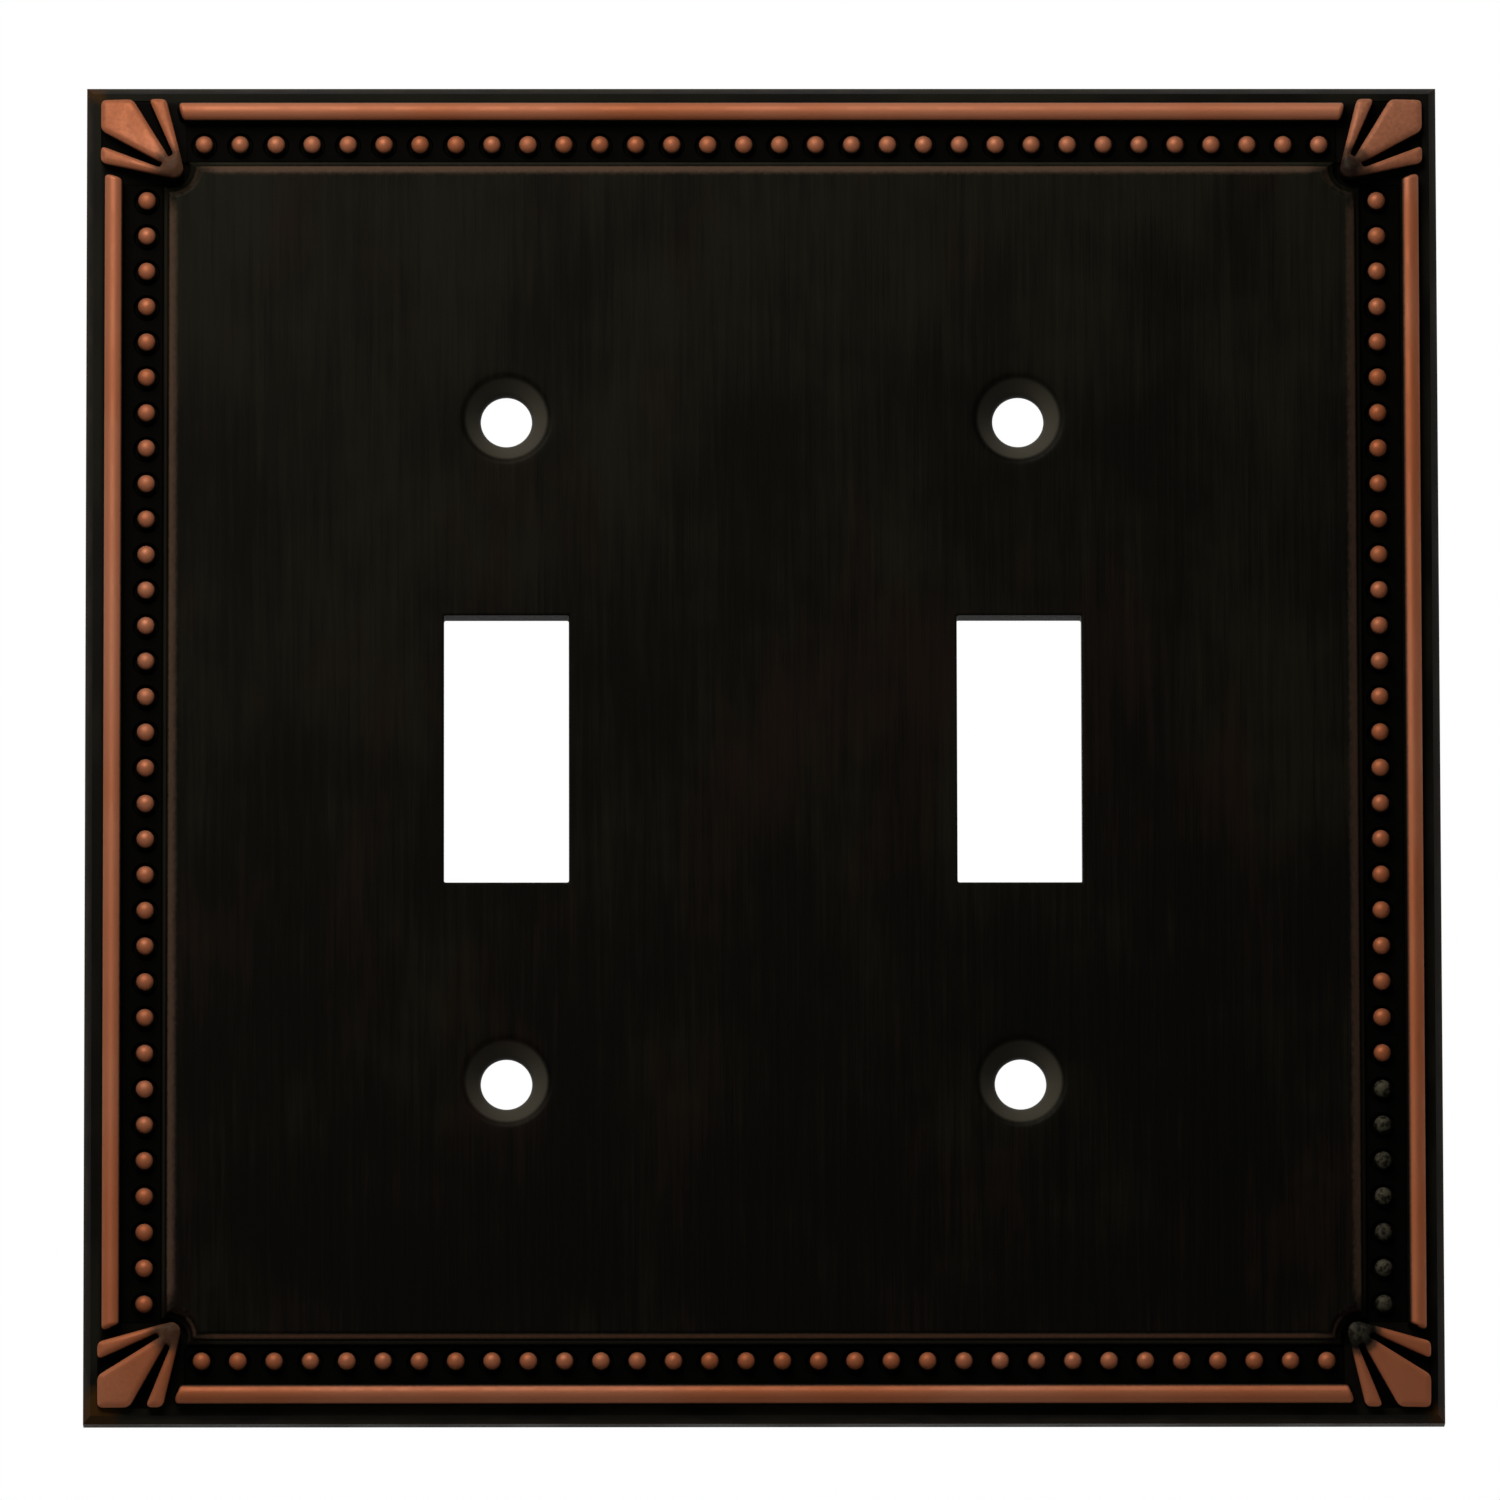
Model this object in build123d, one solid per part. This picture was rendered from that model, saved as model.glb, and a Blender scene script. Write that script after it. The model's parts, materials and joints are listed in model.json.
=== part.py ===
from build123d import *
import math
import os

# Two-gang toggle wall plate with a half-round rod border, a beaded gallery and
# a fluted leaf at each corner.
#
# Every piece is drawn flat: X right, Y up the wall, Z out from the wall. The
# finished pieces are then stood up, so X stays right, +Z is up and the front
# faces -Y. The origin is the centre of the plate on the wall plane.
# Distances called "inset" are measured in from the plate's outer edge, and
# levels are heights above the wall plane. All sizes are in millimetres.

# Overall
PLATE_SIDE = 121.65
HALF_SIDE = PLATE_SIDE / 2

# Wiring-device standard: distance between gangs, and between a switch's screws
GANG_SPACING = 46.02
SCREW_SPACING = 60.33

# Levels above the wall
WEB_BACK = 1.4
GROOVE_FLOOR = 2.2
SEAT_LEVEL = 2.6
BORDER_FACE = 3.0
PANEL_FACE = 4.4
BEAD_TOP = 4.3
ROD_CROWN = 4.9
LEAF_CREST = 5.8

# Back pan
SKIRT_WALL = 1.5
RIM_BEVEL_WIDTH = 0.65
RIM_BEVEL_HEIGHT = 0.9
CORNER_BLOCK = 9.0
WINDOW_INSET = 10.8

# Half-round rods
ROD_INSET = 2.5
ROD_WIDTH = 1.66
ROD_OUTER_START = 8.05
ROD_INNER_START = 8.43
ROD_END_ROUND = 0.4

# Beads and their sockets
BEAD_COUNT = 32
BEAD_PITCH = 3.2405
BEAD_INSET = 5.45
BEAD_RADIUS = 0.82
BEAD_SHANK_RADIUS = 0.45
SOCKET_RADIUS = 1.15

# Face panel
PANEL_INSET = 6.95
PANEL_BEVEL = 1.1
NOTCH_INSET = 7.6
NOTCH_RADIUS = 1.7
SCREW_HOLE_RADIUS = 2.3
COUNTERSINK_RADIUS = 3.9
TOGGLE_WIDTH = 11.2
TOGGLE_HEIGHT = 24.3
TOGGLE_EDGE_BREAK = 0.15
BOSS_RADIUS = 5.0
COLLAR_WIDTH = 1.6

# Corner leaves, measured from the plate's corner
LEAF_INSET = 1.3
LEAF_SPAN = 7.15
LEAF_TIP_INSET = 7.9
LEAF_TIP_RADIUS = 0.85
LEAF_CORNER_ROUND = 0.4
ON_EDGE = 0.001
LEAF_OUTER_LEVEL = 3.75
LEAF_REACH = 9.2
SLIT_OUTER = (4.9, 1.3)
SLIT_INNER = (7.62, 6.72)
SLIT_OUTER_WIDTH = 1.3
SLIT_INNER_WIDTH = 0.5
SLIT_OVERRUN = 1.0

# Studs that hold the pieces in the pan, headed over behind it
STUD_CLEARANCE = 0.05
STUD_HEAD_EXTRA = 0.45
STUD_HEAD_HEIGHT = 0.35
ROD_STUD_RADIUS = 0.5
ROD_STUD_STATIONS = (-48.0, 0.0, 48.0)
STRIP_STUD_RADIUS = 0.6
STRIP_STUD_STATIONS = (-2 * GANG_SPACING / 3, 0.0, 2 * GANG_SPACING / 3)
STRIP_STUD_INSET = 5.5
PANEL_STUD_RADIUS = 0.8
PANEL_STUD_INSET = 9.2
PANEL_STUD_STATIONS = (-30.0, 30.0)
LEAF_STUD_RADIUS = 0.8
LEAF_STUD_INSET = 4.9

# A piece made for the bottom edge or the bottom left corner serves the other
# three by turning it about the plate's centre.
EDGE_TURNS = {"bottom": 0, "right": 90, "top": 180, "left": 270}
CORNER_TURNS = {
    "bottom_left": 0,
    "bottom_right": 90,
    "top_right": 180,
    "top_left": 270,
}


def square(side, low, high):
    """A square block centred on the plate between two levels."""
    return Pos(0, 0, low) * extrude(Rectangle(side, side), high - low)


def disc(x, y, radius, low, high):
    """A round block at a point of the plate between two levels."""
    return Pos(x, y, low) * extrude(Circle(radius), high - low)


def from_corner(x, y):
    """A point given by its insets from the bottom left corner."""
    return (x - HALF_SIDE, y - HALF_SIDE)


def stud(x, y, radius, top):
    """A stud through the pan's web with its head formed behind the web."""
    head = disc(x, y, radius + STUD_HEAD_EXTRA, WEB_BACK - STUD_HEAD_HEIGHT, WEB_BACK)
    return disc(x, y, radius, WEB_BACK, top) + head


def stud_hole(x, y, radius, top):
    """The clearance hole in the pan for one stud."""
    return disc(x, y, radius + STUD_CLEARANCE, 0, top)


def rod_plan():
    """A rod seen from the front: ends cut to follow the leaves, then rounded."""
    outer = ROD_INSET - ROD_WIDTH / 2
    inner = ROD_INSET + ROD_WIDTH / 2
    corners = [
        from_corner(ROD_OUTER_START, outer),
        from_corner(PLATE_SIDE - ROD_OUTER_START, outer),
        from_corner(PLATE_SIDE - ROD_INNER_START, inner),
        from_corner(ROD_INNER_START, inner),
    ]
    plan = make_face(Polyline(*corners, close=True))
    return fillet(plan.vertices(), ROD_END_ROUND)


def half_round():
    """The rod's section: upright sides under a round crown, as a long bar."""
    radius = ROD_WIDTH / 2
    bar_length = PLATE_SIDE
    shoulder = ROD_CROWN - radius
    y = ROD_INSET - HALF_SIDE
    middle = (GROOVE_FLOOR + shoulder) / 2
    upright = Pos(0, y, middle) * Box(bar_length, ROD_WIDTH, shoulder - GROOVE_FLOOR)
    crown = Pos(0, y, shoulder) * Rot(0, 90, 0) * Cylinder(radius, bar_length)
    return upright + crown


def border_rod():
    """One half-round rod, with the studs that hold it in its groove."""
    rod = Pos(0, 0, GROOVE_FLOOR) * extrude(rod_plan(), ROD_CROWN - GROOVE_FLOOR)
    rod = rod & half_round()
    for station in ROD_STUD_STATIONS:
        rod += stud(station, ROD_INSET - HALF_SIDE, ROD_STUD_RADIUS, GROOVE_FLOOR)
    return rod


def bead_centres():
    """The bead places along the bottom edge."""
    first = -(BEAD_COUNT - 1) * BEAD_PITCH / 2
    return [(first + n * BEAD_PITCH, BEAD_INSET - HALF_SIDE) for n in range(BEAD_COUNT)]


def strip_blank(low, high):
    """The gallery strip without sockets: it fills the channel between the rod
    and the face panel, from one corner block to the other."""
    outer = ROD_INSET + ROD_WIDTH / 2 - HALF_SIDE
    inner = PANEL_INSET - HALF_SIDE
    plan = Rectangle(PLATE_SIDE - 2 * CORNER_BLOCK, inner - outer)
    return Pos(0, (inner + outer) / 2, low) * extrude(plan, high - low)


def gallery_strip():
    """One strip of the beaded gallery, with a socket and a hole for each bead."""
    strip = strip_blank(GROOVE_FLOOR, BORDER_FACE)
    cuts = []
    for x, y in bead_centres():
        cuts.append(disc(x, y, SOCKET_RADIUS, SEAT_LEVEL, BORDER_FACE))
        hole_radius = BEAD_SHANK_RADIUS + STUD_CLEARANCE
        cuts.append(disc(x, y, hole_radius, GROOVE_FLOOR, SEAT_LEVEL))
    strip -= cuts
    for station in STRIP_STUD_STATIONS:
        y = STRIP_STUD_INSET - HALF_SIDE
        strip += stud(station, y, STRIP_STUD_RADIUS, GROOVE_FLOOR)
    return strip


def bead(x, y):
    """One bead: a round head on an upright collar, with a shank below."""
    centre = BEAD_TOP - BEAD_RADIUS
    head = Pos(x, y, centre) * Sphere(BEAD_RADIUS)
    head += disc(x, y, BEAD_RADIUS, SEAT_LEVEL, centre)
    return head + disc(x, y, BEAD_SHANK_RADIUS, GROOVE_FLOOR, SEAT_LEVEL)


def bead_row():
    """The beads of one edge, as separate solids."""
    return Compound([bead(x, y).solid() for x, y in bead_centres()])


def leaf_outline():
    """A leaf's outline from the plate's corner: square outer corner, spreading
    sides, round tip."""
    centre = LEAF_TIP_INSET
    spread = math.hypot(centre - LEAF_SPAN, centre - LEAF_INSET)
    to_centre = math.atan2(centre - LEAF_INSET, centre - LEAF_SPAN)
    to_tangent = to_centre - math.asin(LEAF_TIP_RADIUS / spread)
    reach = math.sqrt(spread**2 - LEAF_TIP_RADIUS**2)
    touch = (
        LEAF_SPAN + reach * math.cos(to_tangent),
        LEAF_INSET + reach * math.sin(to_tangent),
    )
    tip = centre + LEAF_TIP_RADIUS * math.sqrt(0.5)
    outline = [
        Line((LEAF_INSET, LEAF_INSET), (LEAF_SPAN, LEAF_INSET)),
        Line((LEAF_SPAN, LEAF_INSET), touch),
        ThreePointArc(touch, (tip, tip), touch[::-1]),
        Line(touch[::-1], (LEAF_INSET, LEAF_SPAN)),
        Line((LEAF_INSET, LEAF_SPAN), (LEAF_INSET, LEAF_INSET)),
    ]
    return make_face(outline)


def slit_outline():
    """One wedge-shaped flute between two lobes, with a round inner end."""
    outer, inner = Vector(*SLIT_OUTER), Vector(*SLIT_INNER)
    along = (inner - outer).normalized()
    across = Vector(-along.Y, along.X)
    start = outer - along * SLIT_OVERRUN
    widening = (SLIT_OUTER_WIDTH - SLIT_INNER_WIDTH) / (inner - outer).length
    start_half = (SLIT_OUTER_WIDTH + widening * SLIT_OVERRUN) / 2
    end_half = SLIT_INNER_WIDTH / 2
    wedge = make_face(
        Polyline(
            start - across * start_half,
            inner - across * end_half,
            inner + across * end_half,
            start + across * start_half,
            close=True,
        )
    )
    return wedge + Pos(inner.X, inner.Y) * Circle(end_half)


def leaf_plan(fluted):
    """A leaf seen from the front, whole or split into its three lobes."""
    plan = leaf_outline()
    if fluted:
        slit = slit_outline()
        plan -= [slit, mirror(slit, Plane.YZ).rotate(Axis.Z, -90)]
    outer_corners = [v for v in plan.vertices() if min(v.X, v.Y) < LEAF_INSET + ON_EDGE]
    plan = fillet(outer_corners, LEAF_CORNER_ROUND)
    return Pos(-HALF_SIDE, -HALF_SIDE) * plan


def leaf_height():
    """A turned cap whose crest stands over the leaf's tip and falls outwards."""
    x, y = from_corner(LEAF_TIP_INSET, LEAF_TIP_INSET)
    crest_flat = LEAF_TIP_RADIUS / 2
    profile = make_face(
        Polyline(
            (0, 0, GROOVE_FLOOR),
            (LEAF_REACH, 0, GROOVE_FLOOR),
            (LEAF_REACH, 0, LEAF_OUTER_LEVEL),
            (crest_flat, 0, LEAF_CREST),
            (0, 0, LEAF_CREST),
            close=True,
        )
    )
    return Pos(x, y, 0) * revolve(profile, Axis.Z)


def corner_leaf():
    """One fluted leaf: three lobes on a thin base that lies in a pocket."""
    base = Pos(0, 0, GROOVE_FLOOR) * extrude(leaf_plan(False), BORDER_FACE - GROOVE_FLOOR)
    lobes = Pos(0, 0, BORDER_FACE) * extrude(leaf_plan(True), LEAF_CREST - BORDER_FACE)
    leaf = base + (lobes & leaf_height())
    x, y = from_corner(LEAF_STUD_INSET, LEAF_STUD_INSET)
    return leaf + stud(x, y, LEAF_STUD_RADIUS, GROOVE_FLOOR)


def screw_places():
    """The four mounting screws: two for each switch."""
    columns = (-GANG_SPACING / 2, GANG_SPACING / 2)
    rows = (-SCREW_SPACING / 2, SCREW_SPACING / 2)
    return [(x, y) for x in columns for y in rows]


def panel_stud_places():
    """Two studs along each edge of the face panel."""
    reach = HALF_SIDE - PANEL_STUD_INSET
    along_edge = [(station, -reach) for station in PANEL_STUD_STATIONS]
    turns = (0, 90, 180, 270)
    return [Vector(*p).rotate(Axis.Z, turn) for turn in turns for p in along_edge]


def face_panel():
    """The raised panel: notched corners, countersunk holes, toggle openings."""
    side = PLATE_SIDE - 2 * PANEL_INSET
    plan = Rectangle(side, side)
    notch = HALF_SIDE - NOTCH_INSET
    plan -= [Pos(x, y) * Circle(NOTCH_RADIUS) for x in (-notch, notch) for y in (-notch, notch)]
    panel = Pos(0, 0, SEAT_LEVEL) * extrude(plan, PANEL_FACE - SEAT_LEVEL)
    panel = chamfer(panel.faces().sort_by(Axis.Z)[-1].edges(), PANEL_BEVEL)
    toggle_centres = (-GANG_SPACING / 2, GANG_SPACING / 2)
    for x in toggle_centres:
        collar = Rectangle(TOGGLE_WIDTH + 2 * COLLAR_WIDTH, TOGGLE_HEIGHT + 2 * COLLAR_WIDTH)
        panel += Pos(x, 0, WEB_BACK) * extrude(collar, SEAT_LEVEL - WEB_BACK)
    for x, y in screw_places():
        panel += disc(x, y, BOSS_RADIUS, WEB_BACK, SEAT_LEVEL)
    for place in panel_stud_places():
        panel += stud(place.X, place.Y, PANEL_STUD_RADIUS, SEAT_LEVEL)
    for x in toggle_centres:
        opening = extrude(Rectangle(TOGGLE_WIDTH, TOGGLE_HEIGHT), PANEL_FACE)
        mouth_side = (TOGGLE_WIDTH + 2 * TOGGLE_EDGE_BREAK, TOGGLE_HEIGHT + 2 * TOGGLE_EDGE_BREAK)
        mouth = extrude(Rectangle(*mouth_side), -TOGGLE_EDGE_BREAK, taper=45)
        panel -= [Pos(x, 0, 0) * opening, Pos(x, 0, PANEL_FACE) * mouth]
    sink_depth = COUNTERSINK_RADIUS - SCREW_HOLE_RADIUS
    for x, y in screw_places():
        sink = Cone(SCREW_HOLE_RADIUS, COUNTERSINK_RADIUS, sink_depth)
        panel -= disc(x, y, SCREW_HOLE_RADIUS, 0, PANEL_FACE)
        panel -= Pos(x, y, PANEL_FACE - sink_depth / 2) * sink
    return panel


def back_pan():
    """The hollow-backed frame that carries every other piece."""
    skirt_top = BORDER_FACE - RIM_BEVEL_HEIGHT
    lean = math.degrees(math.atan2(RIM_BEVEL_WIDTH, RIM_BEVEL_HEIGHT))
    pan = square(PLATE_SIDE, 0, skirt_top)
    bevel = extrude(Rectangle(PLATE_SIDE, PLATE_SIDE), RIM_BEVEL_HEIGHT, taper=lean)
    pan += Pos(0, 0, skirt_top) * bevel
    pan -= square(PLATE_SIDE - 2 * SKIRT_WALL, 0, WEB_BACK)
    pan -= square(PLATE_SIDE - 2 * WINDOW_INSET, WEB_BACK, BORDER_FACE)
    pan -= square(PLATE_SIDE - 2 * PANEL_INSET, SEAT_LEVEL, BORDER_FACE)
    rod_groove = Pos(0, 0, GROOVE_FLOOR) * extrude(rod_plan(), BORDER_FACE - GROOVE_FLOOR)
    edge_cuts = [rod_groove, strip_blank(GROOVE_FLOOR, BORDER_FACE)]
    for station in ROD_STUD_STATIONS:
        edge_cuts.append(stud_hole(station, ROD_INSET - HALF_SIDE, ROD_STUD_RADIUS, BORDER_FACE))
    for station in STRIP_STUD_STATIONS:
        y = STRIP_STUD_INSET - HALF_SIDE
        edge_cuts.append(stud_hole(station, y, STRIP_STUD_RADIUS, BORDER_FACE))
    pocket = Pos(0, 0, GROOVE_FLOOR) * extrude(leaf_plan(False), BORDER_FACE - GROOVE_FLOOR)
    x, y = from_corner(LEAF_STUD_INSET, LEAF_STUD_INSET)
    corner_cuts = [pocket, stud_hole(x, y, LEAF_STUD_RADIUS, BORDER_FACE)]
    for turn in EDGE_TURNS.values():
        pan -= [Rot(0, 0, turn) * cut for cut in edge_cuts]
    for turn in CORNER_TURNS.values():
        pan -= [Rot(0, 0, turn) * cut for cut in corner_cuts]
    for place in panel_stud_places():
        pan -= stud_hole(place.X, place.Y, PANEL_STUD_RADIUS, BORDER_FACE)
    return pan


def write(shape, name):
    """Stands a finished piece up and writes it as its own node."""
    export_step(Rot(90, 0, 0) * shape, f"parts/{name}.step")


os.makedirs("parts", exist_ok=True)

write(back_pan(), "back_pan")
write(face_panel(), "face_panel")

rod_piece = border_rod()
strip_piece = gallery_strip()
bead_piece = bead_row()
for edge, angle in EDGE_TURNS.items():
    write(Rot(0, 0, angle) * rod_piece, f"border_rod_{edge}")
    write(Rot(0, 0, angle) * strip_piece, f"gallery_strip_{edge}")
    write(Rot(0, 0, angle) * bead_piece, f"bead_row_{edge}")

leaf_piece = corner_leaf()
for corner, angle in CORNER_TURNS.items():
    write(Rot(0, 0, angle) * leaf_piece, f"corner_leaf_{corner}")
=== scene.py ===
import json
import math
import random

import bmesh
import bpy
from mathutils import Matrix, Quaternion, Vector
from mathutils.geometry import delaunay_2d_cdt


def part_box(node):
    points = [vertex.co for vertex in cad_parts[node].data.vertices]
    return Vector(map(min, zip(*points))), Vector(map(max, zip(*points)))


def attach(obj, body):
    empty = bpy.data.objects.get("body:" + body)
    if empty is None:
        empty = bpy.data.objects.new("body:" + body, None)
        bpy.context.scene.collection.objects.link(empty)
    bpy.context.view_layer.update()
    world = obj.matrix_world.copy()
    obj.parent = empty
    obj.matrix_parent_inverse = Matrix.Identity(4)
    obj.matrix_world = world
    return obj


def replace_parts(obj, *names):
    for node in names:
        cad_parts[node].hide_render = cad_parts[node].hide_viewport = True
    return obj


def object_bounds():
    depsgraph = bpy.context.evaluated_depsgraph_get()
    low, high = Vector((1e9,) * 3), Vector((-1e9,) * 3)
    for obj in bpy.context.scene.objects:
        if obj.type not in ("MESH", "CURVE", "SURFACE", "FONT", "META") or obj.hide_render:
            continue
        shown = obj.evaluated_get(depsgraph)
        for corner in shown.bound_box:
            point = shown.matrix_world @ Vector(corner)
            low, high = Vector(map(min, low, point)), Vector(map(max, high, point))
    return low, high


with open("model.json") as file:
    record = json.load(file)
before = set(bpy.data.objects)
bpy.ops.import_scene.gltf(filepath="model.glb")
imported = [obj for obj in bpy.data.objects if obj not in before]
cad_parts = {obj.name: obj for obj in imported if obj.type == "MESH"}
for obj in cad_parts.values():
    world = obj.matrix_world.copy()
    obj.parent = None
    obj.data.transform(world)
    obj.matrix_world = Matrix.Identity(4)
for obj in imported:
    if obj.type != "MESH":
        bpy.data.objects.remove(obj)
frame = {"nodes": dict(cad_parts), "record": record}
cad_low, cad_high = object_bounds()

# Two-gang toggle wall plate in dark bronze with rubbed copper borders.
#
# Every piece is drawn flat and in millimetres, as in the CAD: X right, Y up the wall, Z the level above
# the wall, and then stood up in metres. A piece made for the bottom edge or the bottom left corner is
# turned to serve the others.
# A ring is a closed loop of points at one level; a chain of rings is the surface over an edge.

MM = 0.001
EDGE_TURNS = {"bottom": 0, "right": 90, "top": 180, "left": 270}
CORNER_TURNS = {"bottom_left": 0, "bottom_right": 90, "top_right": 180, "top_left": 270}
SMOOTH_BELOW = math.radians(48)
LONGEST_ROUNDING = 0.45  # of a side, so that the rounded corners at its two ends never meet
INSIDE_OUTLINE = 1  # the kind of filling asked of delaunay_2d_cdt


def flat_box(node):
    """A CAD node's lowest and highest corners in the flat drawing."""
    low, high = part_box(node)
    return Vector((low.x, low.z, -high.y)) / MM, Vector((high.x, high.z, -low.y)) / MM


# Sizes read from the frame
HALF_SIDE = (cad_high.x - cad_low.x) / 2 / MM
PANEL_LOW, PANEL_HIGH = flat_box("face_panel")
ROD_LOW, ROD_HIGH = flat_box("border_rod_bottom")
STRIP_LOW, STRIP_HIGH = flat_box("gallery_strip_bottom")
BEADS_LOW, BEADS_HIGH = flat_box("bead_row_bottom")
LEAF_HIGH = flat_box("corner_leaf_bottom_left")[1]
SCREWS = next(m for m in frame["record"]["mounts"] if m["name"] == "switch_screws")
GANG_SPACING = SCREWS["dims"]["spacing_x_mm"]
SCREW_SPACING = SCREWS["dims"]["spacing_y_mm"]
SCREW_HOLE_RADIUS = SCREWS["dims"]["hole_r_mm"]

# Levels above the wall
HEAD_LEVEL = PANEL_LOW.z
WEB_BACK = 1.4
GROOVE_FLOOR = 2.2
SEAT_LEVEL = 2.6
BORDER_FACE = STRIP_HIGH.z
PANEL_FACE = PANEL_HIGH.z
ROD_CROWN = ROD_HIGH.z
BEAD_TOP = BEADS_HIGH.z
LEAF_CREST = LEAF_HIGH.z

# Studs behind the panel, rods, strips and leaves
STUD_HEAD_OVERHANG = 0.45

# Back pan
PAN_EDGE_BREAK = 0.1
PAN_SOFT_ABOVE = math.radians(35)

# Face panel
PANEL_BEVEL = 1.1
BEVEL_ROUND = 1.25
NOTCH_CENTRE = HALF_SIDE - 7.6
NOTCH_RADIUS = 1.7
NOTCH_STRAIGHT = 4.5
NOTCH_STEPS = 24
PANEL_EDGE_RUB = 0.38
# painted sheen low on the panel's bevel
PANEL_EDGE_SHEEN = 0.35
PANEL_EDGE_WEAR = {"bottom": 1.35, "right": 0.76, "top": 1.0, "left": 0.84}
COUNTERSINK_RADIUS = 3.9
TOGGLE_WIDTH = 11.2
TOGGLE_HEIGHT = 24.3
BOSS_RADIUS = 5.0
COLLAR_WIDTH = 1.6
PANEL_STUD_RADIUS = 0.8
PANEL_STUD_INSET = 9.2
PANEL_STUD_STATIONS = (-30.0, 30.0)

# Rods
ROD_RADIUS = 0.83
ROD_SKEW = 0.38
ROD_END = 0.5
ROD_END_POWER = 2.8
ROD_STEPS = 24
# how far the rub reaches down the outer and inner side of each rod; the patina below is also painted shade
ROD_WEAR_AND_SHADE = {"bottom": (1.25, 0.45), "right": (1.0, 0.42), "top": (0.65, 0.80), "left": (1.0, 0.55)}
ROD_STUD_RADIUS = 0.5
ROD_STUD_STATIONS = (-48.0, 0.0, 48.0)

# Beads and strips
BEAD_COUNT = 32
DULL_BEADS = 7
BEAD_RADIUS = 0.82
BEAD_SHANK_RADIUS = 0.45
BEAD_RIM_SHADE_LEVELS = (3.4, 4.1)
SOCKET_RADIUS = 1.15
STRIP_STUD_RADIUS = 0.6
STRIP_STUD_STATIONS = (-2 * GANG_SPACING / 3, 0.0, 2 * GANG_SPACING / 3)
STRIP_STUD_INSET = 5.5

# Corner leaves, measured from the plate's corner
LEAF_INSET = 1.3
LEAF_SPAN = 7.15
LEAF_TIP_INSET = 7.9
LEAF_TIP_RADIUS = 0.85
LEAF_STUD_RADIUS = 0.8
LEAF_STUD_INSET = 4.9
SLIT_OUTER = Vector((4.9, 1.3))
SLIT_INNER = Vector((7.62, 6.72))
SLIT_OUTER_HALF = 0.65
SLIT_INNER_HALF = 0.25
LEAF_ROUND = 0.5
LEAF_FALL = 0.225
LEAF_TIP_FALL = 0.55
LEAF_EDGE_DROP = 0.25
LEAF_VOXEL = 0.075
LEAF_SMOOTHING = 6
LEAF_RUB = {"top_left": 0.70, "top_right": 0.66, "bottom_left": 0.75, "bottom_right": 0.80}
LEAF_TIP_RUB_AND_SHADE = {"top_left": 0.30, "top_right": 0.12, "bottom_left": 0.26, "bottom_right": -0.5}
LEAF_TIP_REACH = 2.8


# ---------------------------------------------------------------- outlines


def soften(line, reach, steps=4):
    """Rounds the inner corners of an open line of 2D points."""
    rounded = [Vector(line[0])]
    for before, corner, after in zip(line, line[1:], line[2:]):
        before, corner, after = Vector(before), Vector(corner), Vector(after)
        back, on = before - corner, after - corner
        start = corner + back.normalized() * min(reach, LONGEST_ROUNDING * back.length)
        end = corner + on.normalized() * min(reach, LONGEST_ROUNDING * on.length)
        for step in range(steps + 1):
            t = step / steps
            rounded.append(start.lerp(corner, t).lerp(corner.lerp(end, t), t))
    rounded.append(Vector(line[-1]))
    return rounded


def soften_loop(loop, reach, steps=4):
    """Rounds every corner of a closed loop of 2D points."""
    line = soften([loop[-1], *loop, loop[0]], reach, steps)
    return line[1:-1]


def circle(centre, radius, count=64):
    """A round loop."""
    angles = [math.tau * n / count for n in range(count)]
    return [Vector((centre[0] + radius * math.cos(a), centre[1] + radius * math.sin(a))) for a in angles]


def rectangle(centre, width, height, reach):
    """A rectangular loop with rounded corners."""
    x, y = width / 2, height / 2
    loop = [Vector(centre) + Vector(p) for p in ((-x, -y), (x, -y), (x, y), (-x, y))]
    return soften_loop(loop, reach)


def notched_square(inset):
    """The panel's outline with its corners cut out in a quarter round, moved inwards by inset. Each
    straight side has a point near its two ends, up to which its wear is even."""
    side = PANEL_HIGH.x - inset
    radius = NOTCH_RADIUS + inset
    beyond = side - NOTCH_CENTRE
    reach = math.sqrt(radius**2 - beyond**2)
    first = math.atan2(-reach, beyond)
    last = -1.5 * math.pi - first
    arc = []
    for n in range(NOTCH_STEPS + 1):
        angle = first + (last - first) * n / NOTCH_STEPS
        arc.append(Vector((NOTCH_CENTRE + radius * math.cos(angle), NOTCH_CENTRE + radius * math.sin(angle))))
    end = NOTCH_CENTRE - NOTCH_STRAIGHT
    straight = [Vector((end, side)), Vector((-end, side))]
    loop = []
    for turn in range(4):
        loop += [Matrix.Rotation(turn * math.pi / 2, 2) @ p for p in arc + straight]
    return soften_loop(loop, 0.25, 3)


# ---------------------------------------------------------------- solids


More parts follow.
